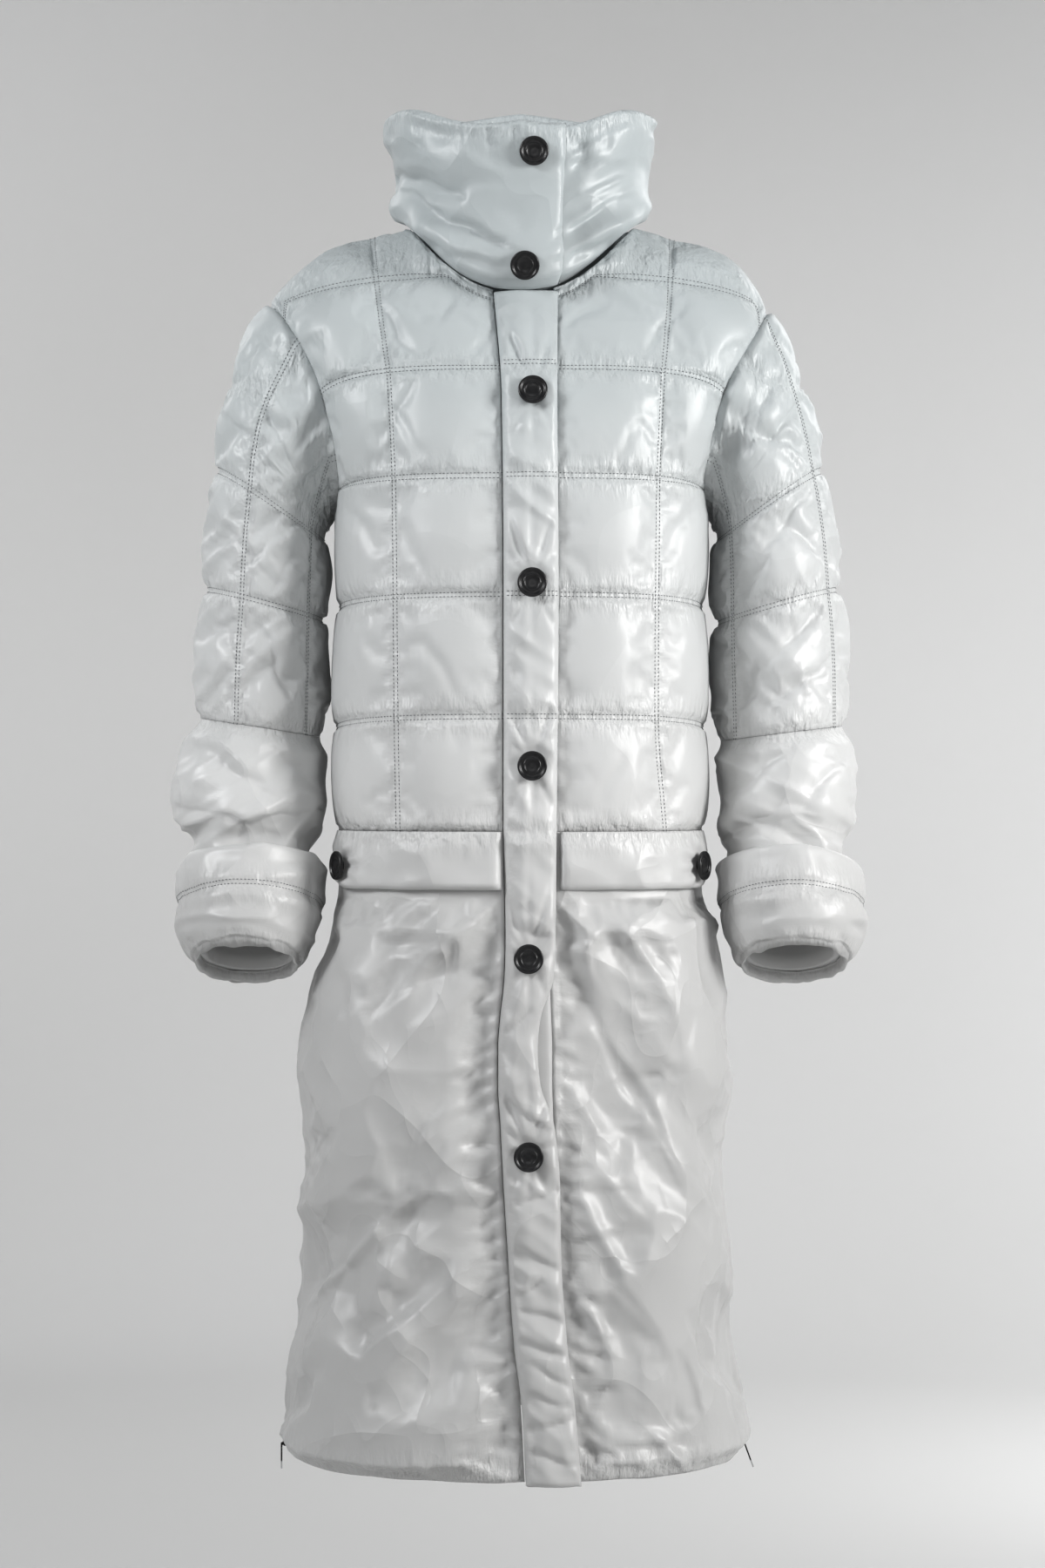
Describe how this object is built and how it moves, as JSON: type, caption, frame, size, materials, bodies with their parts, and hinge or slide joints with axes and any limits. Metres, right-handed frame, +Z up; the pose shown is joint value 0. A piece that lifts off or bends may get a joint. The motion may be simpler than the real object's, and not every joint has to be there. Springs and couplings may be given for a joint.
{
  "type": "long puffer coat",
  "caption": "Long padded coat with a quilted upper part, plain padded skirt, funnel collar, fly placket with buttons and turned-up cuffs.",
  "frame": {"origin": "inside the neck, level with the side points of the neck seam, where the wearer's neck and shoulders hold the coat", "axes": "+Z up along the body, the wearer faces -Y, the wearer's left is +X"},
  "size_m": [0.6824, 0.3979, 1.3705],
  "materials": {
    "shell_fabric": "satin",
    "button_black": "gloss",
    "zip_metal": "satin",
    "zip_tape": "matte"
  },
  "bodies": {
    "coat": {"front_right_quilted": "shell_fabric", "front_left_quilted": "shell_fabric", "back_quilted": "shell_fabric", "skirt_front_right": "shell_fabric", "skirt_front_left": "shell_fabric", "skirt_back": "shell_fabric", "placket": "shell_fabric", "under_placket": "shell_fabric", "hip_flap_right": "shell_fabric", "hip_flap_left": "shell_fabric", "collar": "shell_fabric", "sleeve_upper_right": "shell_fabric", "sleeve_upper_left": "shell_fabric", "sleeve_lower_right": "shell_fabric", "sleeve_lower_left": "shell_fabric", "cuff_right": "shell_fabric", "cuff_left": "shell_fabric", "button_1": "button_black", "button_2": "button_black", "button_3": "button_black", "button_4": "button_black", "button_5": "button_black", "button_6": "button_black", "button_7": "button_black", "flap_button_right": "button_black", "flap_button_left": "button_black", "zip_tape_right": "zip_tape", "zip_tape_left": "zip_tape", "zip_slider_right": "zip_metal", "zip_slider_left": "zip_metal"},
    "pull_right": {"zip_pull_right": "zip_metal"},
    "pull_left": {"zip_pull_left": "zip_metal"}
  },
  "joints": [
    {"name": "pull_right_swing", "type": "hinge", "parent": "coat", "child": "pull_right", "pos_m": [-0.2388, 0, -1.214], "axis": [0, 1, 0], "range_deg": [0, 150]},
    {"name": "pull_left_swing", "type": "hinge", "parent": "coat", "child": "pull_left", "pos_m": [0.2238, 0, -1.214], "axis": [0, -1, 0], "range_deg": [0, 130]}
  ]
}
